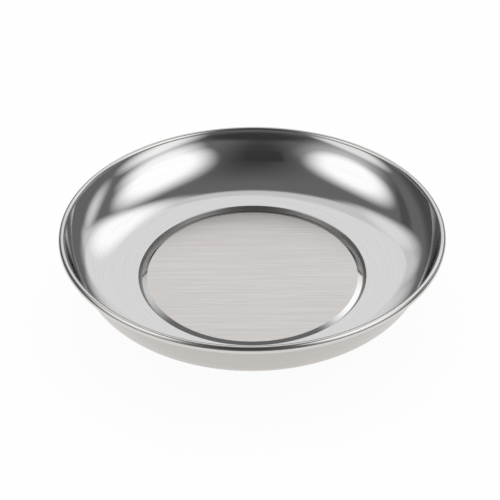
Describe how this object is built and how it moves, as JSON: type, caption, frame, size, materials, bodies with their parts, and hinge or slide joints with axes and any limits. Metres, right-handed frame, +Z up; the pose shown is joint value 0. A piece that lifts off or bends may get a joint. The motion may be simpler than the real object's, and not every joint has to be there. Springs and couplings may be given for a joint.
{
  "type": "magnetic parts tray",
  "caption": "Round stainless dish with a rolled rim and a shallow brushed well, on a rubber-covered magnet base that holds small steel parts and clings to steel surfaces.",
  "frame": {"origin": "middle of the boot's underside, on the surface that the tray stands on", "axes": "+Z up along the dish's axis of revolution; X and Y level, with the well's brush lines along X"},
  "size_m": [0.15, 0.15, 0.0388],
  "materials": {
    "stainless": "polished inside, brushed in the well, satin outside",
    "copper_flash": "copper-flashed steel",
    "foam": "closed-cell foam tape",
    "zinc_plate": "bright zinc plate",
    "ferrite": "ground ferrite",
    "spring_steel": "phosphated",
    "rubber": "moulded, matt"
  },
  "bodies": {
    "root": {"dish": "stainless", "weld_stud": "copper_flash", "foam_pad": "foam", "pole_plate": "zinc_plate", "ring_magnet": "ferrite", "magnet_retainer": "zinc_plate", "flat_washer": "zinc_plate", "spring_washer": "spring_steel", "hex_nut": "zinc_plate", "rubber_boot": "rubber"}
  },
  "joints": []
}
